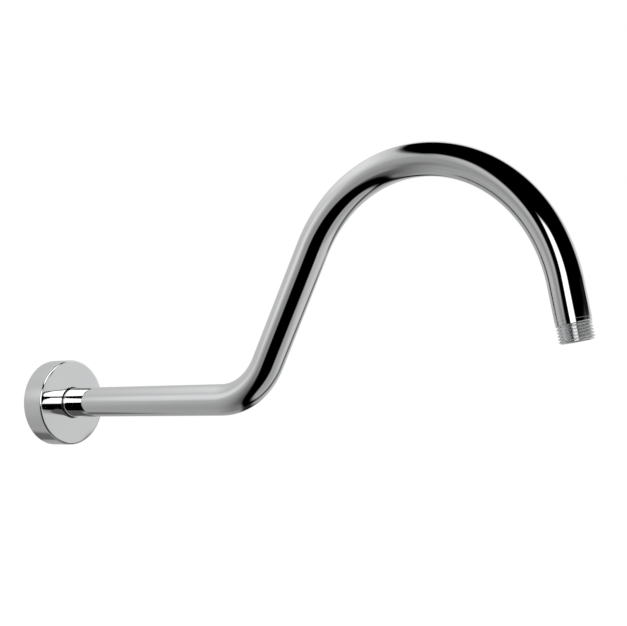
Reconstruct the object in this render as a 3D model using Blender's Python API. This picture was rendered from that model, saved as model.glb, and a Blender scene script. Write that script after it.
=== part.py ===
"""A swan-neck wall shower arm: one bent tube, the flange that covers its hole in the wall, and an O-ring.

The wall is the plane X = 0 and the tube leaves it along +X. +Z is up, and the whole bend lies in the plane
Y = 0. The origin is where the tube's axis meets the wall. All sizes are in metres.
"""

import math

import bmesh
import bpy
from mathutils import Vector

# Tube
TUBE_DIAMETER = 0.0213
TUBE_WALL = 0.0026
INLET_REACH = 0.014
WALL_RUN = 0.1646
RISE_BEND_RADIUS = 0.0486
RISE_TURN = math.radians(59.5)
RISER_LENGTH = 0.0841
ARCH_BEND_RADIUS = 0.0954
ARCH_TURN = math.radians(140.6)
OUTLET_RUN = 0.0337

# Turned and threaded ends, both for a half-inch pipe thread
THREAD_DIAMETER = 0.020955
THREAD_END_CHAMFER = 0.0011
INLET_THREAD_LENGTH = 0.015
OUTLET_THREAD_LENGTH = 0.0106
OUTLET_LAND_LENGTH = 0.002
SHOULDER_LENGTH = 0.0003
BORE_CHAMFER = 0.0003

# Wall flange
FLANGE_DIAMETER = 0.0624
FLANGE_DEPTH = 0.0192
FLANGE_SIDE_WALL = 0.0022
FLANGE_FACE_WALL = 0.003
FACE_DOME_RADIUS = 0.3
FLANGE_EDGE_RADIUS = 0.0015
FLANGE_INNER_RADIUS = 0.0015
HOLE_CLEARANCE = 0.0005
HOLE_CHAMFER = 0.0002
LIP_LENGTH = 0.0025
COLLAR_TAIL_LENGTH = 0.0022
COLLAR_WALL = 0.0016

# O-ring
O_RING_SECTION = 0.0025
SEAT_GAP = 0.0003

# How finely round forms are cut into flats
TUBE_SIDES = 36
FLANGE_SIDES = 72
O_RING_SIDES = 48
O_RING_SECTION_SIDES = 12
EDGE_STEPS = 5
DOME_STEPS = 4
INNER_CORNER_STEPS = 3
BEND_STEP = math.radians(6.2)
SHARP_ANGLE = math.radians(28)

# Sizes that follow from those above
TUBE_RADIUS = TUBE_DIAMETER / 2
BORE_RADIUS = TUBE_RADIUS - TUBE_WALL
THREAD_RADIUS = THREAD_DIAMETER / 2
FLANGE_RADIUS = FLANGE_DIAMETER / 2
HOLE_RADIUS = TUBE_RADIUS + HOLE_CLEARANCE
GROOVE_RADIUS = TUBE_RADIUS + SEAT_GAP + O_RING_SECTION + SEAT_GAP
GROOVE_WIDTH = SEAT_GAP + O_RING_SECTION + SEAT_GAP
GROOVE_FRONT_X = FLANGE_DEPTH - LIP_LENGTH
O_RING_X = GROOVE_FRONT_X - GROOVE_WIDTH / 2
O_RING_CENTRE_RADIUS = TUBE_RADIUS + SEAT_GAP + O_RING_SECTION / 2

# The tube's stretches from the wall end to the outlet: length and turn, upwards positive
STRETCHES = (
    (INLET_REACH + WALL_RUN, 0.0),
    (RISE_BEND_RADIUS * RISE_TURN, RISE_TURN),
    (RISER_LENGTH, 0.0),
    (ARCH_BEND_RADIUS * ARCH_TURN, -ARCH_TURN),
    (OUTLET_RUN, 0.0),
)
TUBE_LENGTH = sum(length for length, turn in STRETCHES)


def clear_scene():
    for item in list(bpy.data.objects):
        bpy.data.objects.remove(item)


def finish(name, colour, metallic, roughness):
    """A Principled material."""
    material = bpy.data.materials.new(name)
    material.use_nodes = True
    shader = material.node_tree.nodes["Principled BSDF"]
    shader.inputs["Base Color"].default_value = (*colour, 1)
    shader.inputs["Metallic"].default_value = metallic
    shader.inputs["Roughness"].default_value = roughness
    return material


def solid(name, mesh_edit, material):
    """An object from an edit mesh whose faces close one body."""
    bmesh.ops.recalc_face_normals(mesh_edit, faces=mesh_edit.faces)
    mesh = bpy.data.meshes.new(name)
    mesh_edit.to_mesh(mesh)
    mesh_edit.free()
    mesh.shade_smooth()
    mesh.set_sharp_from_angle(angle=SHARP_ANGLE)
    mesh.materials.append(material)
    item = bpy.data.objects.new(name, mesh)
    bpy.context.scene.collection.objects.link(item)
    return item


def skin(mesh_edit, rings):
    """Faces between each ring of vertices and the next."""
    for ring, following in zip(rings, rings[1:]):
        for i, corner in enumerate(ring):
            j = (i + 1) % len(ring)
            mesh_edit.faces.new((corner, ring[j], following[j], following[i]))


def arc(centre, radius, start, end, steps):
    """Points (x, r) of an arc, with angles measured from +X towards greater r."""
    turn = (end - start) / steps
    return [
        (centre[0] + radius * math.cos(start + i * turn), centre[1] + radius * math.sin(start + i * turn))
        for i in range(steps + 1)
    ]


def turned_piece(name, outline, sides, material):
    """A closed outline of points (x, r), turned about the X axis."""
    mesh_edit = bmesh.new()
    rings = []
    for x, r in outline:
        angles = [math.tau * i / sides for i in range(sides)]
        rings.append([mesh_edit.verts.new((x, r * math.cos(a), r * math.sin(a))) for a in angles])
    skin(mesh_edit, rings + rings[:1])
    return solid(name, mesh_edit, material)


def tube_station(along):
    """The point and the heading of the tube's axis at a distance along it from the wall end."""
    point = Vector((-INLET_REACH, 0, 0))
    heading = 0.0
    for length, turn in STRETCHES:
        part = min(along, length)
        if turn:
            radius = length / turn
            swept = part / radius
            sideways = math.sin(heading + swept) - math.sin(heading)
            upwards = math.cos(heading) - math.cos(heading + swept)
            point += radius * Vector((sideways, 0, upwards))
            heading += swept
        else:
            point += part * Vector((math.cos(heading), 0, math.sin(heading)))
        along -= part
        if along <= 0:
            break
    return point, heading


def bend_stations():
    """Distances along the tube at which its two bends are cut into steps, with both ends of each bend."""
    stations = []
    start = 0.0
    for length, turn in STRETCHES:
        if turn:
            steps = math.ceil(abs(turn) / BEND_STEP)
            stations += [start + length * i / steps for i in range(steps + 1)]
        start += length
    return stations


def tube_ring(mesh_edit, along, radius):
    """A ring of vertices square to the tube's axis."""
    centre, heading = tube_station(along)
    across = Vector((0, 1, 0))
    outward = Vector((-math.sin(heading), 0, math.cos(heading)))
    ring = []
    for i in range(TUBE_SIDES):
        angle = math.tau * i / TUBE_SIDES
        offset = math.cos(angle) * across + math.sin(angle) * outward
        ring.append(mesh_edit.verts.new(centre + radius * offset))
    return ring


def make_tube(material):
    """The bent tube with its two turned ends. The threads are cut later, in the plain ends."""
    thread_start = TUBE_LENGTH - OUTLET_THREAD_LENGTH - OUTLET_LAND_LENGTH
    outside = [
        (0.0, THREAD_RADIUS - THREAD_END_CHAMFER),
        (THREAD_END_CHAMFER, THREAD_RADIUS),
        (INLET_THREAD_LENGTH, THREAD_RADIUS),
        (INLET_THREAD_LENGTH + SHOULDER_LENGTH, TUBE_RADIUS),
        *((along, TUBE_RADIUS) for along in bend_stations()),
        (thread_start - SHOULDER_LENGTH, TUBE_RADIUS),
        (thread_start, THREAD_RADIUS),
        (TUBE_LENGTH - THREAD_END_CHAMFER, THREAD_RADIUS),
        (TUBE_LENGTH, THREAD_RADIUS - THREAD_END_CHAMFER),
    ]
    inside = [
        (TUBE_LENGTH, BORE_RADIUS + BORE_CHAMFER),
        (TUBE_LENGTH - BORE_CHAMFER, BORE_RADIUS),
        *((along, BORE_RADIUS) for along in reversed(bend_stations())),
        (BORE_CHAMFER, BORE_RADIUS),
        (0.0, BORE_RADIUS + BORE_CHAMFER),
    ]
    mesh_edit = bmesh.new()
    rings = [tube_ring(mesh_edit, along, radius) for along, radius in outside + inside]
    skin(mesh_edit, rings + rings[:1])
    return solid("bent_tube", mesh_edit, material)


def flange_outline():
    """The flange's section, from the back rim forwards over the edge and the face, and back inside."""
    edge_centre_radius = FLANGE_RADIUS - FLANGE_EDGE_RADIUS
    dome_centre_x = FLANGE_DEPTH - FACE_DOME_RADIUS
    dome_end = math.asin(edge_centre_radius / (FACE_DOME_RADIUS - FLANGE_EDGE_RADIUS))
    dome_start = math.asin((HOLE_RADIUS + HOLE_CHAMFER) / FACE_DOME_RADIUS)
    edge_centre_x = dome_centre_x + (FACE_DOME_RADIUS - FLANGE_EDGE_RADIUS) * math.cos(dome_end)
    edge = arc((edge_centre_x, edge_centre_radius), FLANGE_EDGE_RADIUS, math.pi / 2, dome_end, EDGE_STEPS)
    dome = arc((dome_centre_x, 0.0), FACE_DOME_RADIUS, dome_end, dome_start, DOME_STEPS)
    lip_x = dome[-1][0] - HOLE_CHAMFER
    groove_back_x = GROOVE_FRONT_X - GROOVE_WIDTH
    collar_end_x = groove_back_x - COLLAR_TAIL_LENGTH
    collar_radius = GROOVE_RADIUS + COLLAR_WALL
    inner_face_x = FLANGE_DEPTH - FLANGE_FACE_WALL
    inner_radius = FLANGE_RADIUS - FLANGE_SIDE_WALL
    corner_centre = (inner_face_x - FLANGE_INNER_RADIUS, inner_radius - FLANGE_INNER_RADIUS)
    hole = [
        (lip_x, HOLE_RADIUS),
        (GROOVE_FRONT_X, HOLE_RADIUS),
        (GROOVE_FRONT_X, GROOVE_RADIUS),
        (groove_back_x, GROOVE_RADIUS),
        (groove_back_x, HOLE_RADIUS),
        (collar_end_x, HOLE_RADIUS),
    ]
    inside = [
        (collar_end_x, collar_radius),
        (inner_face_x, collar_radius),
        *arc(corner_centre, FLANGE_INNER_RADIUS, 0.0, math.pi / 2, INNER_CORNER_STEPS),
        (0.0, inner_radius),
    ]
    return [(0.0, FLANGE_RADIUS), *edge, *dome[1:], *hole, *inside]


def make_flange(material):
    return turned_piece("wall_flange", flange_outline(), FLANGE_SIDES, material)


def make_o_ring(material, flange):
    """The O-ring in the flange's groove, which slides along the tube with the flange."""
    centre = (0.0, O_RING_CENTRE_RADIUS)
    section = arc(centre, O_RING_SECTION / 2, 0.0, math.tau, O_RING_SECTION_SIDES)[:-1]
    ring = turned_piece("flange_o_ring", section, O_RING_SIDES, material)
    ring.parent = flange
    ring.location.x = O_RING_X
    return ring


def main():
    clear_scene()
    chrome = finish("polished_chrome", (0.80, 0.81, 0.82), 1.0, 0.05)
    rubber = finish("black_rubber", (0.02, 0.02, 0.022), 0.0, 0.6)
    make_tube(chrome)
    flange = make_flange(chrome)
    make_o_ring(rubber, flange)


main()
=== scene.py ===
"""A swan-neck wall shower arm in polished chrome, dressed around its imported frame.

The arm is one bent brass tube, plated with chrome, with a pipe thread cut into each end. A flange slides on
it and covers the hole in the wall, and an O-ring inside the flange grips the tube. All sizes are in metres.
The wall is the plane X = 0, +Z is up, and the whole bend lies in the plane Y = 0.
"""

import math

import bmesh
import bpy
from mathutils import Matrix, Vector


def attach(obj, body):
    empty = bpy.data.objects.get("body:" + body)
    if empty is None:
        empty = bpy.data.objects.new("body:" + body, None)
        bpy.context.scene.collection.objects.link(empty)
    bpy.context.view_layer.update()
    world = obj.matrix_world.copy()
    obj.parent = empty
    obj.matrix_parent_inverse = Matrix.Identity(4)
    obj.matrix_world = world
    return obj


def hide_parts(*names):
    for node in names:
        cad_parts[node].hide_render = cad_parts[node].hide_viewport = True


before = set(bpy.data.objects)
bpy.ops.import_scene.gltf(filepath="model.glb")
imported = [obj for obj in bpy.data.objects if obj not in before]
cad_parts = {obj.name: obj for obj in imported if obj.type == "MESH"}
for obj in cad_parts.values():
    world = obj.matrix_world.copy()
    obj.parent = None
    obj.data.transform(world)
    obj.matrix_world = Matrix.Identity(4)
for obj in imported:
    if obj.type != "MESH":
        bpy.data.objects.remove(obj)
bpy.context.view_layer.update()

# Tube
TUBE_DIAMETER = 0.0213
TUBE_WALL = 0.0026
INLET_REACH = 0.014
WALL_RUN = 0.1646
RISE_BEND_RADIUS = 0.0486
RISE_TURN = math.radians(59.5)
RISER_LENGTH = 0.0841
ARCH_BEND_RADIUS = 0.0954
ARCH_TURN = math.radians(140.6)
OUTLET_RUN = 0.0337
BORE_CHAMFER = 0.0003

# Half-inch pipe thread, cut into both ends: 14 turns to the inch, with rounded crests and roots
THREAD_DIAMETER = 0.020955
THREAD_PITCH = 0.0254 / 14
THREAD_DEPTH = 0.640327 * THREAD_PITCH
THREAD_ROUNDING = 0.137329 * THREAD_PITCH
FLANK_ANGLE = math.radians(27.5)
THREAD_END_CHAMFER = 0.0011
THREAD_RUN_OUT = 0.0012
INLET_THREAD_LENGTH = 0.015
OUTLET_THREAD_LENGTH = 0.0106
OUTLET_LAND_LENGTH = 0.002
SHOULDER_LENGTH = 0.0003
SHOULDER_BEVEL = 0.0001

# Wall flange
FLANGE_DIAMETER = 0.0624
FLANGE_DEPTH = 0.0192
FLANGE_SIDE_WALL = 0.0022
FLANGE_FACE_WALL = 0.003
FACE_DOME_RADIUS = 0.3
FLANGE_EDGE_RADIUS = 0.0015
FLANGE_INNER_RADIUS = 0.0015
HOLE_CLEARANCE = 0.0005
HOLE_ROUNDING = 0.001
LIP_LENGTH = 0.0025
COLLAR_TAIL_LENGTH = 0.0022
COLLAR_WALL = 0.0016

# O-ring
O_RING_SECTION = 0.0025
SEAT_GAP = 0.0003

# How finely round forms are cut into flats
TUBE_SIDES = 144
BEND_STEP = math.radians(1.0)
BORE_BEND_STEP = math.radians(3.0)
THREAD_STEP = THREAD_PITCH / 18
FLANGE_SIDES = 256
EDGE_STEPS = 14
DOME_STEPS = 12
HOLE_EDGE_STEPS = 10
INNER_CORNER_STEPS = 6
O_RING_SIDES = 160
O_RING_SECTION_SIDES = 28
SHARP_ANGLE = math.radians(38)

# Camera, as the photograph was taken. An azimuth is from +X towards +Y, and the angles are in degrees.
PHOTO_WIDTH = 627
LENS_PIXELS = 1382.48
CAMERA_TARGET = Vector((0.24645, 0.0, 0.05482))
CAMERA_AZIMUTH = -52.87
CAMERA_ELEVATION = -0.33
CAMERA_ROLL = -3.37
CAMERA_DISTANCE = 0.88737
SENSOR_WIDTH = 0.036

# Finishes. Where there are two colours or two roughnesses, clouds of noise mix them. A scale is the number
# of clouds or grains in a metre, and a relief is the strength and the depth of a bump.
CHROME_COLOURS = ((0.785, 0.795, 0.81, 1), (0.825, 0.825, 0.825, 1))
CHROME_RELIEF = (0.05, 0.0002)
TUBE_STREAK_SCALES = (12.0, 500.0, 500.0)
TUBE_HAZE_SCALE = 60.0
FLANGE_RING_SCALE = 1500.0
FLANGE_HAZE_SCALE = 90.0
BACK_RIM_DEPTH = 0.0006
BORE_PLATE_COLOURS = ((0.42, 0.40, 0.36, 1), (0.62, 0.60, 0.56, 1))
BORE_PLATE_ROUGHNESS = (0.32, 0.57)
BORE_PLATE_CLOUD_SCALE = 220.0
BORE_PLATE_GRAIN_SCALE = 2600.0
BORE_PLATE_RELIEF = (0.3, 0.0001)
RUBBER_COLOURS = ((0.012, 0.012, 0.013, 1), (0.032, 0.032, 0.034, 1))
RUBBER_ROUGHNESS = (0.5, 0.75)
RUBBER_BLOOM_SCALE = 400.0
RUBBER_GRAIN_SCALE = 4000.0
RUBBER_RELIEF = (0.4, 0.00005)
FLOOR_COLOURS = ((0.93, 0.93, 0.93, 1), (0.95, 0.95, 0.95, 1))
FLOOR_ROUGHNESS = 0.9
FLOOR_CLOUD_SCALE = 8.0
FLOOR_GLOW = (0.3, 0.3, 0.3, 1)
BLACK = (0, 0, 0, 1)
WHITE = (1, 1, 1, 1)

# The mirror's own roughness and what each fault adds to it, and how much less metallic satin is
MIRROR_ROUGHNESS = 0.008
HAZE_ROUGHNESS = 0.02
STREAK_ROUGHNESS = 0.014
UNPOLISHED_ROUGHNESS = 0.14
SATIN_ROUGHNESS = 0.03
SATIN_DULLING = 0.1

# Studio
AMBIENT_LIGHT = 0.8
LAMP_PLACE = Vector((0.1, -1.1, 1.3))
LAMP_SIDE = 0.9
LAMP_POWER = 9.0
FLOOR_HEIGHT = -0.35
FLOOR_RADIUS = 3.0
FLOOR_SIDES = 96
ROOM_RADIUS = 0.55
ROOM_SUBDIVISIONS = 4
ROOM_CENTRE = Vector((0.22, 0.0, 0.05))

# Brightness of the cards that the chrome shows, where 1 is white and two numbers are a card's two ends
TABLE_GLOW = (0.40, 0.58)
SWEEP_GLOW = (0.52, 0.68)
BACKDROP_GLOW = (0.70, 0.92)
PANEL_GAP_GLOW = 0.01
FAR_FLOOR_GLOW = (0.58, 0.32)
TABLE_GAP_GLOW = (0.16, 0.06)
WALL_GAP_GLOW = 0.02
DOORWAY_GLOW = (0.03, 0.15)
WINDOW_GLOW = 1.6
NEAR_LIGHT_GLOW = 1.8
NEAR_DARK_GLOW = 0.0
NEAR_LOW_GLOW = 0.12

# The long wall and the pillar before it: their own brightness, and the light and shade laid over them
WALL_GLOW = (0.48, 0.60)
WALL_TOP_LIGHT = 0.26
WALL_SPOT_LIGHT = 0.22
WALL_LOW_SHADE = 0.08
WALL_FOOT_SHADE = 0.18
PILLAR_SHADE = 0.40
PILLAR_SHADE_BELOW = 0.32
PILLAR_SHADE_LOST_ABOVE = 0.22
CORNER_SHADE = 0.5
PILLAR_GLOW = 0.32
PILLAR_EDGE_LIGHT = 0.18
PILLAR_TOP_LIGHT = 0.07

# Cards close to the flange: where each one's middle is, what it faces, and its corners, right and up from it
HIGH_CARD_PLACE = Vector((0.115, 0.0, 0.08))
HIGH_CARD_AIM = Vector((-0.02, 0.0, 0.0))
HIGH_CARD_CORNERS = (
    (-0.042, -0.031),
    (0.024, -0.031),
    (0.049, -0.012),
    (0.067, 0.006),
    (0.09, 0.052),
    (-0.051, 0.058),
)
SIDE_CARD_PLACE = Vector((0.098, -0.087, 0.025))
SIDE_CARD_AIM = Vector((-0.042, 0.013, 0.0))
SIDE_CARD_CORNERS = ((-0.043, -0.022), (0.042, -0.021), (0.042, 0.037), (-0.046, 0.024))
DARK_CARD_CORNERS = ((-0.065, -0.022), (-0.043, -0.022), (-0.047, 0.033), (-0.068, 0.03))
LOW_CARD_PLACE = Vector((0.103, 0.005, -0.085))
LOW_CARD_AIM = Vector((-0.016, 0.005, 0.0))
LOW_CARD_CORNERS = ((-0.067, -0.039), (0.063, -0.029), (0.054, 0.032), (-0.059, 0.027))

# The room that the chrome mirrors, as soft-edged cards seen from the room's centre. A corner is an azimuth
# and an elevation in degrees, and the blur of a card's edges is in degrees too.
TABLE_CORNERS = (
    (-15, -38),
    (70, -30),
    (76, -50),
    (92, -66),
    (118, -78),
    (-100, -80),
    (-64, -70),
    (-34, -60),
)
TABLE_BLUR = 9
SWEEP_CORNERS = ((-27, 1), (12, 6), (80, 2), (80, -14), (70, -38), (-14, -42))
SWEEP_BLUR = 5
BACKDROP_CORNERS = ((44, -10), (84, -14), (128, -22), (128, 49), (100, 59), (48, 11))
SIDE_PANEL_CORNERS = ((41.5, -10), (62, -10), (57, 28), (44, 22))
BACKDROP_BLUR = 12
PANEL_GAP_CORNERS = ((18, 5.6), (45, 5.2), (46, 9.5), (18, 9.5))
PANEL_GAP_BLUR = 2
FAR_FLOOR_CORNERS = ((84, -6), (128, -10), (123, -65), (100, -65), (80, -46))
FAR_FLOOR_BLUR = 8
WALL_CORNERS = (
    (-126, 57),
    (128, 57),
    (128, -20),
    (134, -60),
    (175, -74),
    (-140, -70.5),
    (-117, -57),
    (-94.5, 0),
)
WALL_BLUR = 6
WALL_SPOT = (-139, 13)
WALL_SPOT_RADIUS = 19
PILLAR_CORNERS = ((-82, 12), (-89, 39.5), (-109, 39), (-113, 0), (-116, -30), (-92, -8))
PILLAR_BLUR = 9
TABLE_GAP_CORNERS = ((68, -21), (83, -21), (95, -67), (86, -71), (62, -42))
WALL_GAP_CORNERS = ((119, -20), (128, -20), (136, -68), (116, -68))
GAP_BLUR = 6
DOORWAY_CORNERS = ((179, 2), (-165.5, 2), (-166.5, -16), (-177, -38), (166, -42), (168, -30))
DOORWAY_BLUR = 6
WINDOW_CORNERS = ((-61, -8), (-33, -8), (-33, 14), (-37, 27), (-50.5, 29.5), (-58, 11))
WINDOW_BLUR = 5.5

# Sizes that follow from those above
TUBE_RADIUS = TUBE_DIAMETER / 2
BORE_RADIUS = TUBE_RADIUS - TUBE_WALL
THREAD_RADIUS = THREAD_DIAMETER / 2
FLANGE_RADIUS = FLANGE_DIAMETER / 2
HOLE_RADIUS = TUBE_RADIUS + HOLE_CLEARANCE
GROOVE_RADIUS = TUBE_RADIUS + SEAT_GAP + O_RING_SECTION + SEAT_GAP
GROOVE_WIDTH = SEAT_GAP + O_RING_SECTION + SEAT_GAP
GROOVE_FRONT_X = FLANGE_DEPTH - LIP_LENGTH
O_RING_X = GROOVE_FRONT_X - GROOVE_WIDTH / 2
O_RING_CENTRE_RADIUS = TUBE_RADIUS + SEAT_GAP + O_RING_SECTION / 2

# The tube's stretches from the wall end to the outlet: length and turn, upwards positive
STRETCHES = (
    (INLET_REACH + WALL_RUN, 0.0),
    (RISE_BEND_RADIUS * RISE_TURN, RISE_TURN),
    (RISER_LENGTH, 0.0),
    (ARCH_BEND_RADIUS * ARCH_TURN, -ARCH_TURN),
    (OUTLET_RUN, 0.0),
)
TUBE_LENGTH = sum(length for length, turn in STRETCHES)
OUTLET_THREAD_START = TUBE_LENGTH - OUTLET_THREAD_LENGTH
OUTLET_LAND_START = OUTLET_THREAD_START - OUTLET_LAND_LENGTH


# Shader expressions


class Signal:
    """An output of a node that takes part in sums, which add their Math nodes."""

    def __init__(self, tree, socket):
        self.tree = tree
        self.socket = socket

    def math(self, operation, *values):
        sockets = dict(enumerate(values))
        return self.node("ShaderNodeMath", {"operation": operation}, sockets)

    def node(self, kind, settings=None, sockets=None, output=0):
        """Any node, from its type, its settings, and the values or links of its sockets."""
        made = self.tree.nodes.new(kind)
        for name, value in (settings or {}).items():
            setattr(made, name, value)
        for name, value in (sockets or {}).items():
            if isinstance(value, Signal):
                self.tree.links.new(value.socket, made.inputs[name])
            else:
                made.inputs[name].default_value = value
        return Signal(self.tree, made.outputs[output] if made.outputs else None)

    def __add__(self, other):
        return self.math("ADD", self, other)

    __radd__ = __add__

    def __sub__(self, other):
        return self.math("SUBTRACT", self, other)

    def __rsub__(self, other):
        return self.math("SUBTRACT", other, self)

    def __mul__(self, other):
        return self.math("MULTIPLY", self, other)

    __rmul__ = __mul__


def new_finish(name):
    """An empty material and the start of its expressions."""
    material = bpy.data.materials.new(name)
    material.use_nodes = True
    material.node_tree.nodes.clear()
    return material, Signal(material.node_tree, None)


def finish_with(start, sockets):
    """The Principled shader that a finish ends in, from the values and expressions of its sockets."""
    shader = start.node("ShaderNodeBsdfPrincipled", sockets=sockets)
    start.node("ShaderNodeOutputMaterial", sockets={"Surface": shader})


def bump(height, strength, depth):
    sockets = {"Strength": strength, "Distance": depth, "Height": height}
    return height.node("ShaderNodeBump", sockets=sockets)


def fade(signal, start, end):
    """A signal that goes smoothly from 0 at start to 1 at end."""
    sockets = {"Value": signal, "From Min": start, "From Max": end}
    return signal.node("ShaderNodeMapRange", {"interpolation_type": "SMOOTHSTEP"}, sockets)


def between(low, high, share):
    """low where the share is 0 and high where it is 1."""
    return low + (high - low) * share


def blend(factor, first, second):
    """A colour between two colours, which are sockets 6 and 7 of a Mix node and leave it by socket 2."""
    settings = {"data_type": "RGBA", "clamp_factor": False}
    return factor.node("ShaderNodeMix", settings, {0: factor, 6: first, 7: second}, output=2)


def stretched(place, scale):
    """A place with each axis scaled by itself."""
    return place.node("ShaderNodeVectorMath", {"operation": "MULTIPLY"}, {0: place, 1: scale})


def dot(first, second):
    sockets = {0: first, 1: second}
    return first.node("ShaderNodeVectorMath", {"operation": "DOT_PRODUCT"}, sockets, output="Value")


def noise(place, scale, detail):
    return place.node("ShaderNodeTexNoise", sockets={"Vector": place, "Scale": scale, "Detail": detail})


# Round solids


def piece_from(name, mesh_edit, *materials):
    bmesh.ops.recalc_face_normals(mesh_edit, faces=mesh_edit.faces)
    mesh = bpy.data.meshes.new(name)
    mesh_edit.to_mesh(mesh)
    mesh_edit.free()
    mesh.shade_smooth()
    mesh.set_sharp_from_angle(angle=SHARP_ANGLE)
    for material in materials:
        mesh.materials.append(material)
    item = bpy.data.objects.new(name, mesh)
    bpy.context.scene.collection.objects.link(item)
    return item


def skin(mesh_edit, rings, inside_from):
    """Faces between each ring of vertices and the next, of the second material from ring inside_from on."""
    for number, (ring, following) in enumerate(zip(rings, rings[1:])):
        for i, corner in enumerate(ring):
            j = (i + 1) % len(ring)
            face = mesh_edit.faces.new((corner, ring[j], following[j], following[i]))
            face.material_index = int(number >= inside_from)


def arc(centre, radius, start, end, steps):
    """Points (x, r) of an arc, with angles measured from +X towards greater r."""
    turn = (end - start) / steps
    return [
        (centre[0] + radius * math.cos(start + i * turn), centre[1] + radius * math.sin(start + i * turn))
        for i in range(steps + 1)
    ]


def turned_piece(name, outside, inside, sides, *materials):
    """A closed outline of points (x, r), turned about the X axis."""
    mesh_edit = bmesh.new()
    rings = []
    for x, r in outside + inside:
        angles = [math.tau * i / sides for i in range(sides)]
        rings.append([mesh_edit.verts.new((x, r * math.cos(a), r * math.sin(a))) for a in angles])
    skin(mesh_edit, rings + rings[:1], len(outside))
    return piece_from(name, mesh_edit, *materials)


# Tube


def tube_station(along):
    """The point and the heading of the tube's axis at a distance along it from the wall end."""
    point = Vector((-INLET_REACH, 0, 0))
    heading = 0.0
    for length, turn in STRETCHES:
        part = min(along, length)
        if turn:
            radius = length / turn
            swept = part / radius
            sideways = math.sin(heading + swept) - math.sin(heading)
            upwards = math.cos(heading) - math.cos(heading + swept)
            point += radius * Vector((sideways, 0, upwards))
            heading += swept
        else:
            point += part * Vector((math.cos(heading), 0, math.sin(heading)))
        along -= part
        if along <= 0:
            break
    return point, heading


def bend_stations(step):
    """Distances along the tube at which its two bends are cut into steps, with both ends of each bend."""
    stations = []
    start = 0.0
    for length, turn in STRETCHES:
        if turn:
            steps = math.ceil(abs(turn) / step)
            stations += [start + length * i / steps for i in range(steps + 1)]
        start += length
    return stations


def tube_ring(mesh_edit, along, radius_at):
    """A ring of vertices square to the tube's axis, whose radius may change around it."""
    unbent = mesh_edit.verts.layers.float_vector["unbent"]
    centre, heading = tube_station(along)
    across = Vector((0, 1, 0))
    outward = Vector((-math.sin(heading), 0, math.cos(heading)))
    ring = []
    for i in range(TUBE_SIDES):
        angle = math.tau * i / TUBE_SIDES
        radius = radius_at(angle)
        offset = math.cos(angle) * across + math.sin(angle) * outward
        corner = mesh_edit.verts.new(centre + radius * offset)
        corner[unbent] = (along, radius * math.cos(angle), radius * math.sin(angle))
        ring.append(corner)
    return ring


def thread_cut(turns):
    """How far the thread is cut below its crest, at a number of turns along it."""
    from_crest = abs(turns - round(turns)) * THREAD_PITCH
    from_root = THREAD_PITCH / 2 - from_crest
    rounded = THREAD_ROUNDING * math.cos(FLANK_ANGLE)
    if from_crest < rounded:
        return THREAD_ROUNDING - math.sqrt(THREAD_ROUNDING**2 - from_crest**2)
    if from_root < rounded:
        return THREAD_DEPTH - THREAD_ROUNDING + math.sqrt(THREAD_ROUNDING**2 - from_root**2)
    crest_fall = THREAD_ROUNDING * (1 - math.sin(FLANK_ANGLE))
    return crest_fall + (from_crest - rounded) / math.tan(FLANK_ANGLE)


def thread_rings(mesh_edit, start, length, from_end):
    """Rings of a thread that starts at a station and is cut full by its open end.

    from_end is True where the open end comes first along the tube.
    """
    steps = math.ceil(length / THREAD_STEP)
    rings = []
    for step in range(steps + 1):
        along = start + length * step / steps
        end_gap = along - start if from_end else start + length - along
        shoulder_gap = length - end_gap
        fullness = min(1.0, shoulder_gap / THREAD_RUN_OUT)
        chamfered = THREAD_RADIUS - max(0.0, THREAD_END_CHAMFER - end_gap)

        def radius_at(angle, along=along, fullness=fullness, chamfered=chamfered):
            cut = thread_cut(along / THREAD_PITCH - angle / math.tau)
            return min(chamfered, THREAD_RADIUS - fullness * cut)

        rings.append(tube_ring(mesh_edit, along, radius_at))
    return rings


def make_tube(plate, bore_plate):
    """The bent tube with its open bore and the threads in its two turned ends.

    Each corner also keeps its place on the tube as it was before it was bent, for the plate's texture.
    """
    mesh_edit = bmesh.new()
    mesh_edit.verts.layers.float_vector.new("unbent")
    plain = [
        (INLET_THREAD_LENGTH + SHOULDER_LENGTH, TUBE_RADIUS),
        (INLET_THREAD_LENGTH + 2 * SHOULDER_LENGTH, TUBE_RADIUS),
        *((along, TUBE_RADIUS) for along in bend_stations(BEND_STEP)),
        (OUTLET_LAND_START - SHOULDER_LENGTH, TUBE_RADIUS),
        (OUTLET_LAND_START - SHOULDER_BEVEL, TUBE_RADIUS),
        (OUTLET_LAND_START, THREAD_RADIUS),
        (OUTLET_LAND_START + SHOULDER_LENGTH, THREAD_RADIUS),
        (OUTLET_THREAD_START - SHOULDER_LENGTH, THREAD_RADIUS),
    ]
    inside = [
        (TUBE_LENGTH, BORE_RADIUS + BORE_CHAMFER),
        (TUBE_LENGTH - BORE_CHAMFER, BORE_RADIUS),
        (TUBE_LENGTH - 2 * BORE_CHAMFER, BORE_RADIUS),
        *((along, BORE_RADIUS) for along in reversed(bend_stations(BORE_BEND_STEP))),
        (2 * BORE_CHAMFER, BORE_RADIUS),
        (BORE_CHAMFER, BORE_RADIUS),
        (0.0, BORE_RADIUS + BORE_CHAMFER),
    ]
    rings = thread_rings(mesh_edit, 0.0, INLET_THREAD_LENGTH, from_end=True)
    rings += [tube_ring(mesh_edit, along, lambda angle, r=radius: r) for along, radius in plain]
    rings += thread_rings(mesh_edit, OUTLET_THREAD_START, OUTLET_THREAD_LENGTH, from_end=False)
    bore_start = len(rings) + 1
    rings += [tube_ring(mesh_edit, along, lambda angle, r=radius: r) for along, radius in inside]
    skin(mesh_edit, rings + rings[:1], bore_start)
    return piece_from("chromed_tube", mesh_edit, plate, bore_plate)


# Flange and O-ring


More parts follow.
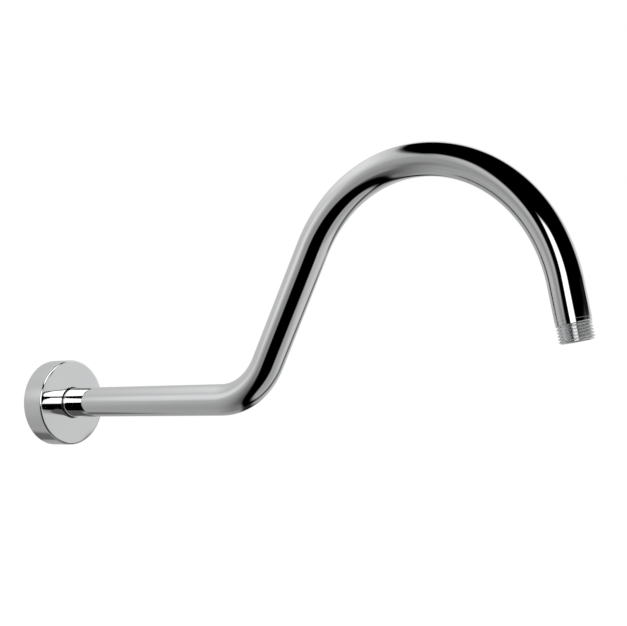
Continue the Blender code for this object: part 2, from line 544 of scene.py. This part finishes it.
def make_flange(plate, bore_plate):
    """The flange, whose section runs from the back rim over the edge and the face, and back inside."""
    edge_centre_radius = FLANGE_RADIUS - FLANGE_EDGE_RADIUS
    dome_centre_x = FLANGE_DEPTH - FACE_DOME_RADIUS
    dome_end = math.asin(edge_centre_radius / (FACE_DOME_RADIUS - FLANGE_EDGE_RADIUS))
    dome_start = math.asin((HOLE_RADIUS + HOLE_ROUNDING) / FACE_DOME_RADIUS)
    edge_centre_x = dome_centre_x + (FACE_DOME_RADIUS - FLANGE_EDGE_RADIUS) * math.cos(dome_end)
    edge = arc((edge_centre_x, edge_centre_radius), FLANGE_EDGE_RADIUS, math.pi / 2, dome_end, EDGE_STEPS)
    dome = arc((dome_centre_x, 0.0), FACE_DOME_RADIUS, dome_end, dome_start, DOME_STEPS)
    hole_edge_centre = (dome[-1][0] - HOLE_ROUNDING, HOLE_RADIUS + HOLE_ROUNDING)
    hole_edge = arc(hole_edge_centre, HOLE_ROUNDING, 0.0, -math.pi / 2, HOLE_EDGE_STEPS)
    groove_back_x = GROOVE_FRONT_X - GROOVE_WIDTH
    collar_end_x = groove_back_x - COLLAR_TAIL_LENGTH
    collar_radius = GROOVE_RADIUS + COLLAR_WALL
    inner_face_x = FLANGE_DEPTH - FLANGE_FACE_WALL
    inner_radius = FLANGE_RADIUS - FLANGE_SIDE_WALL
    corner_centre = (inner_face_x - FLANGE_INNER_RADIUS, inner_radius - FLANGE_INNER_RADIUS)
    hole = [
        (GROOVE_FRONT_X, HOLE_RADIUS),
        (GROOVE_FRONT_X, GROOVE_RADIUS),
        (groove_back_x, GROOVE_RADIUS),
        (groove_back_x, HOLE_RADIUS),
        (collar_end_x, HOLE_RADIUS),
    ]
    inside = [
        (collar_end_x, collar_radius),
        (inner_face_x, collar_radius),
        *arc(corner_centre, FLANGE_INNER_RADIUS, 0.0, math.pi / 2, INNER_CORNER_STEPS),
        (0.0, inner_radius),
    ]
    outside = [(0.0, FLANGE_RADIUS), *edge, *dome[1:], *hole_edge[1:]]
    return turned_piece("chromed_flange", outside, hole + inside, FLANGE_SIDES, plate, bore_plate)


def make_o_ring(material):
    centre = (O_RING_X, O_RING_CENTRE_RADIUS)
    section = arc(centre, O_RING_SECTION / 2, 0.0, math.tau, O_RING_SECTION_SIDES)[:-1]
    return turned_piece("rubber_o_ring", section, [], O_RING_SIDES, material)


# Finishes


def bright_plate(start, streaks, haze, unpolished, satin):
    """Polished chrome, softer along its streaks and where it is hazy or satin, and most where unpolished."""
    roughness = MIRROR_ROUGHNESS + HAZE_ROUGHNESS * haze + STREAK_ROUGHNESS * streaks
    finish_with(
        start,
        {
            "Base Color": blend(haze, *CHROME_COLOURS),
            "Metallic": 1.0 - SATIN_DULLING * satin,
            "Roughness": roughness + UNPOLISHED_ROUGHNESS * unpolished + SATIN_ROUGHNESS * satin,
            "Normal": bump(streaks, *CHROME_RELIEF),
        },
    )


def tube_plate():
    """Chrome on the tube, with faint polishing streaks that follow its bends."""
    material, start = new_finish("tube_chrome")
    place = start.node("ShaderNodeAttribute", {"attribute_name": "unbent"}, output="Vector")
    streaks = noise(stretched(place, TUBE_STREAK_SCALES), 1.0, 3.0)
    along = start.node("ShaderNodeSeparateXYZ", sockets={"Vector": place}, output="X")
    in_inlet_thread = fade(along, INLET_THREAD_LENGTH, INLET_THREAD_LENGTH - THREAD_RUN_OUT)
    in_outlet_thread = fade(along, OUTLET_THREAD_START, OUTLET_THREAD_START + THREAD_RUN_OUT)
    haze = noise(place, TUBE_HAZE_SCALE, 4.0)
    bright_plate(start, streaks, haze, unpolished=in_inlet_thread, satin=in_outlet_thread)
    return material


def flange_plate():
    """Chrome on the flange, with faint rings from the lathe and the polishing wheel."""
    material, start = new_finish("flange_chrome")
    place = start.node("ShaderNodeTexCoord", output="Object")
    across = stretched(place, (0.0, 1.0, 1.0))
    from_axis = start.node("ShaderNodeVectorMath", {"operation": "LENGTH"}, {0: across}, output="Value")
    depth = start.node("ShaderNodeSeparateXYZ", sockets={"Vector": place}, output="X")
    profile = start.node("ShaderNodeCombineXYZ", sockets={"X": depth, "Y": from_axis})
    rings = noise(profile, FLANGE_RING_SCALE, 3.0)
    haze = noise(place, FLANGE_HAZE_SCALE, 4.0)
    back_rim = fade(depth, BACK_RIM_DEPTH, 0.0)
    bright_plate(start, rings, haze, unpolished=back_rim, satin=0.0)
    return material


def bore_plate():
    """The thin, dull plate inside the bore and behind the flange's face, where nothing is polished."""
    material, start = new_finish("dull_bore_plate")
    place = start.node("ShaderNodeTexCoord", output="Object")
    clouds = noise(place, BORE_PLATE_CLOUD_SCALE, 5.0)
    grain = noise(place, BORE_PLATE_GRAIN_SCALE, 2.0)
    finish_with(
        start,
        {
            "Base Color": blend(clouds, *BORE_PLATE_COLOURS),
            "Metallic": 1.0,
            "Roughness": between(*BORE_PLATE_ROUGHNESS, clouds),
            "Normal": bump(grain, *BORE_PLATE_RELIEF),
        },
    )
    return material


def rubber_finish():
    """Black rubber with a fine grain."""
    material, start = new_finish("black_rubber_ring")
    place = start.node("ShaderNodeTexCoord", output="Object")
    bloom = noise(place, RUBBER_BLOOM_SCALE, 4.0)
    grain = noise(place, RUBBER_GRAIN_SCALE, 2.0)
    finish_with(
        start,
        {
            "Base Color": blend(bloom, *RUBBER_COLOURS),
            "Roughness": between(*RUBBER_ROUGHNESS, bloom),
            "Normal": bump(grain, *RUBBER_RELIEF),
        },
    )
    return material


# Studio


def towards(azimuth, elevation):
    """The direction at an azimuth and an elevation in degrees."""
    level = math.cos(math.radians(elevation))
    return Vector(
        (
            level * math.cos(math.radians(azimuth)),
            level * math.sin(math.radians(azimuth)),
            math.sin(math.radians(elevation)),
        )
    )


def make_camera():
    back = towards(CAMERA_AZIMUTH, CAMERA_ELEVATION)
    data = bpy.data.cameras.new("camera")
    data.sensor_width = SENSOR_WIDTH * 1000
    data.lens = LENS_PIXELS / PHOTO_WIDTH * data.sensor_width
    camera = bpy.data.objects.new("camera", data)
    bpy.context.scene.collection.objects.link(camera)
    level = (-back).to_track_quat("-Z", "Y").to_matrix()
    turn = level @ Matrix.Rotation(math.radians(CAMERA_ROLL), 3, "Z")
    camera.matrix_world = Matrix.Translation(CAMERA_TARGET + CAMERA_DISTANCE * back) @ turn.to_4x4()
    bpy.context.scene.camera = camera


def seen_directly(start):
    """1 for rays that show a thing itself: from the camera, off metal or through glass."""
    rays = start.node("ShaderNodeLightPath").socket.node
    kinds = ("Camera", "Glossy", "Transmission")
    shown = [Signal(start.tree, rays.outputs[f"Is {kind} Ray"]) for kind in kinds]
    return start.math("MAXIMUM", start.math("MAXIMUM", shown[0], shown[1]), shown[2])


def make_world():
    """A white surround, a little weaker as light than as a background."""
    world = bpy.data.worlds.new("studio_light")
    world.use_nodes = True
    world.node_tree.nodes.clear()
    start = Signal(world.node_tree, None)
    strength = between(AMBIENT_LIGHT, 1, seen_directly(start))
    white = start.node("ShaderNodeBackground", sockets={"Color": WHITE, "Strength": strength})
    start.node("ShaderNodeOutputWorld", sockets={"Surface": white})
    bpy.context.scene.world = world


def make_lamp():
    """A soft lamp above the camera's side. The chrome shows the painted room's window instead of it."""
    data = bpy.data.lights.new("soft_lamp", "AREA")
    data.size = LAMP_SIDE
    data.energy = LAMP_POWER
    lamp = bpy.data.objects.new("soft_lamp", data)
    bpy.context.scene.collection.objects.link(lamp)
    turn = (CAMERA_TARGET - LAMP_PLACE).to_track_quat("-Z", "Y").to_matrix().to_4x4()
    lamp.matrix_world = Matrix.Translation(LAMP_PLACE) @ turn
    lamp.visible_glossy = False


def stage_piece(name, mesh_edit, material):
    """A part of the studio, which doesn't belong to the arm."""
    mesh = bpy.data.meshes.new(name)
    mesh_edit.to_mesh(mesh)
    mesh_edit.free()
    mesh.materials.append(material)
    item = bpy.data.objects.new(name, mesh)
    bpy.context.scene.collection.objects.link(item)
    return item


def show_to_metal_only(item):
    """Only rays off metal meet the item, so it neither lights nor shades anything else."""
    item.visible_camera = False
    item.visible_diffuse = False
    item.visible_transmission = False
    item.visible_shadow = False


def make_floor():
    """A pale floor that is white where no shadow falls."""
    material, start = new_finish("pale_floor")
    place = start.node("ShaderNodeTexCoord", output="Object")
    finish_with(
        start,
        {
            "Base Color": blend(noise(place, FLOOR_CLOUD_SCALE, 3.0), *FLOOR_COLOURS),
            "Roughness": FLOOR_ROUGHNESS,
            "Emission Color": blend(seen_directly(start), BLACK, FLOOR_GLOW),
            "Emission Strength": 1.0,
        },
    )
    mesh_edit = bmesh.new()
    bmesh.ops.create_circle(mesh_edit, cap_ends=True, radius=FLOOR_RADIUS, segments=FLOOR_SIDES)
    floor = stage_piece("pale_floor", mesh_edit, material)
    floor.location.z = FLOOR_HEIGHT
    floor.visible_glossy = False


def card(direction, corners, blur):
    """1 on a card of the room and 0 off it, across blurred edges on planes through the room's centre."""
    rays = [towards(*corner) for corner in corners]
    middle = sum(rays, Vector())
    half_blur = math.sin(math.radians(blur) / 2)
    mask = 1.0
    for ray, following in zip(rays, rays[1:] + rays[:1]):
        inward = ray.cross(following).normalized()
        if inward.dot(middle) < 0:
            inward.negate()
        mask = mask * fade(dot(direction, inward), -half_blur, half_blur)
    return mask


def wall_glow(direction, x, y, azimuth, elevation):
    """The long wall: lighter upwards and round a spot, darker at its foot and where it nears the pillar.

    It fades with azimuth and elevation in degrees, and with x and y as parts of a direction of length 1.
    """
    top = fade(elevation, 20, 50) * fade(x, -0.33, -0.6)
    wall = between(*WALL_GLOW, fade(elevation, -14, 12)) + WALL_TOP_LIGHT * top
    wall = wall - WALL_LOW_SHADE * fade(elevation, -10, -28) - WALL_FOOT_SHADE * fade(elevation, -45, -68)
    pillar_shade = PILLAR_SHADE + PILLAR_SHADE_BELOW * fade(elevation, 0, -20)
    pillar_shade = pillar_shade - PILLAR_SHADE_LOST_ABOVE * fade(elevation, 20, 34)
    pillar_shade = pillar_shade * fade(azimuth, -140, -106)
    corner_shade = CORNER_SHADE * fade(azimuth, -170, -120) * fade(elevation, -26, -54)
    shade = pillar_shade + corner_shade - pillar_shade * corner_shade
    wall = wall * (1 - fade(y, 0.0, -0.05) * shade)
    to_spot = dot(direction, towards(*WALL_SPOT))
    return wall + WALL_SPOT_LIGHT * fade(to_spot, math.cos(math.radians(WALL_SPOT_RADIUS)), 1.0)


def pillar_glow(azimuth, elevation):
    """The pillar, lighter along its right edge and upwards."""
    edge = fade(azimuth, -112, -94) * fade(elevation, -10, 10)
    return PILLAR_GLOW + PILLAR_EDGE_LIGHT * edge + PILLAR_TOP_LIGHT * fade(elevation, 5, 22)


def room_glow(start):
    """The brightness of the room in each direction, from cards of which each one hides those before it."""
    place = start.node("ShaderNodeTexCoord", output="Object")
    direction = start.node("ShaderNodeVectorMath", {"operation": "NORMALIZE"}, {0: place})
    split = start.node("ShaderNodeSeparateXYZ", sockets={"Vector": direction}).socket.node
    x, y, z = (Signal(start.tree, axis) for axis in split.outputs)
    azimuth = start.math("DEGREES", start.math("ARCTAN2", y, x))
    elevation = start.math("DEGREES", start.math("ARCSINE", z))
    table = between(*TABLE_GLOW, fade(y, 0.0, 0.6))
    sweep = between(*SWEEP_GLOW, fade(azimuth, 0, 55))
    backdrop = between(*BACKDROP_GLOW, fade(x, 0.4, -0.1))
    far_floor = between(*FAR_FLOOR_GLOW, fade(elevation, -32, -62))
    wall = wall_glow(direction, x, y, azimuth, elevation)
    pillar = pillar_glow(azimuth, elevation)
    table_gap = between(*TABLE_GAP_GLOW, fade(elevation, -44, -56))
    doorway = between(*DOORWAY_GLOW, fade(elevation, -16, -32))
    glow = 0.0
    for corners, blur, brightness in (
        (TABLE_CORNERS, TABLE_BLUR, table),
        (SWEEP_CORNERS, SWEEP_BLUR, sweep),
        (BACKDROP_CORNERS, BACKDROP_BLUR, backdrop),
        (SIDE_PANEL_CORNERS, BACKDROP_BLUR, backdrop),
        (PANEL_GAP_CORNERS, PANEL_GAP_BLUR, PANEL_GAP_GLOW),
        (FAR_FLOOR_CORNERS, FAR_FLOOR_BLUR, far_floor),
        (WALL_CORNERS, WALL_BLUR, wall),
        (PILLAR_CORNERS, PILLAR_BLUR, pillar),
        (TABLE_GAP_CORNERS, GAP_BLUR, table_gap),
        (WALL_GAP_CORNERS, GAP_BLUR, WALL_GAP_GLOW),
        (DOORWAY_CORNERS, DOORWAY_BLUR, doorway),
        (WINDOW_CORNERS, WINDOW_BLUR, WINDOW_GLOW),
    ):
        glow = between(glow, brightness, card(direction, corners, blur))
    return glow


def make_room():
    """A dome that only the chrome shows, painted with the room that the photograph's chrome mirrors."""
    material, start = new_finish("mirrored_room")
    finish_with(
        start,
        {
            "Base Color": BLACK,
            "Specular IOR Level": 0.0,
            "Emission Color": blend(room_glow(start), BLACK, WHITE),
            "Emission Strength": 1.0,
        },
    )
    mesh_edit = bmesh.new()
    bmesh.ops.create_icosphere(mesh_edit, subdivisions=ROOM_SUBDIVISIONS, radius=ROOM_RADIUS)
    room = stage_piece("mirrored_room", mesh_edit, material)
    room.location = ROOM_CENTRE
    show_to_metal_only(room)


def make_near_card(name, place, aim, corners, glow):
    """A small card by the flange. Its back is clear, so that only the flange's end of the arm mirrors it."""
    material, start = new_finish(name)
    back = start.node("ShaderNodeNewGeometry", output="Backfacing")
    front_shader = start.node("ShaderNodeEmission", sockets={"Color": WHITE, "Strength": glow})
    back_shader = start.node("ShaderNodeBsdfTransparent")
    either = start.node("ShaderNodeMixShader", sockets={0: back, 1: front_shader, 2: back_shader})
    start.node("ShaderNodeOutputMaterial", sockets={"Surface": either})
    mesh_edit = bmesh.new()
    mesh_edit.faces.new([mesh_edit.verts.new((right, up, 0)) for right, up in corners])
    near_card = stage_piece(name, mesh_edit, material)
    turn = (aim - place).to_track_quat("Z", "Y").to_matrix().to_4x4()
    near_card.matrix_world = Matrix.Translation(place) @ turn
    show_to_metal_only(near_card)


make_camera()
make_world()
make_lamp()
make_floor()
make_room()
make_near_card("high_card", HIGH_CARD_PLACE, HIGH_CARD_AIM, HIGH_CARD_CORNERS, NEAR_LIGHT_GLOW)
make_near_card("side_card", SIDE_CARD_PLACE, SIDE_CARD_AIM, SIDE_CARD_CORNERS, NEAR_LIGHT_GLOW)
make_near_card("dark_card", SIDE_CARD_PLACE, SIDE_CARD_AIM, DARK_CARD_CORNERS, NEAR_DARK_GLOW)
make_near_card("low_card", LOW_CARD_PLACE, LOW_CARD_AIM, LOW_CARD_CORNERS, NEAR_LOW_GLOW)
inner_plate = bore_plate()
tube = make_tube(tube_plate(), inner_plate)
flange = make_flange(flange_plate(), inner_plate)
o_ring = make_o_ring(rubber_finish())
for piece, body, node, slot in (
    (tube, "arm", "bent_tube", "chrome_plate"),
    (flange, "flange", "wall_flange", "chrome_plate"),
    (o_ring, "flange", "flange_o_ring", "black_rubber"),
):
    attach(piece, body)
    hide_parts(node)
bpy.context.scene.view_settings.view_transform = "Standard"
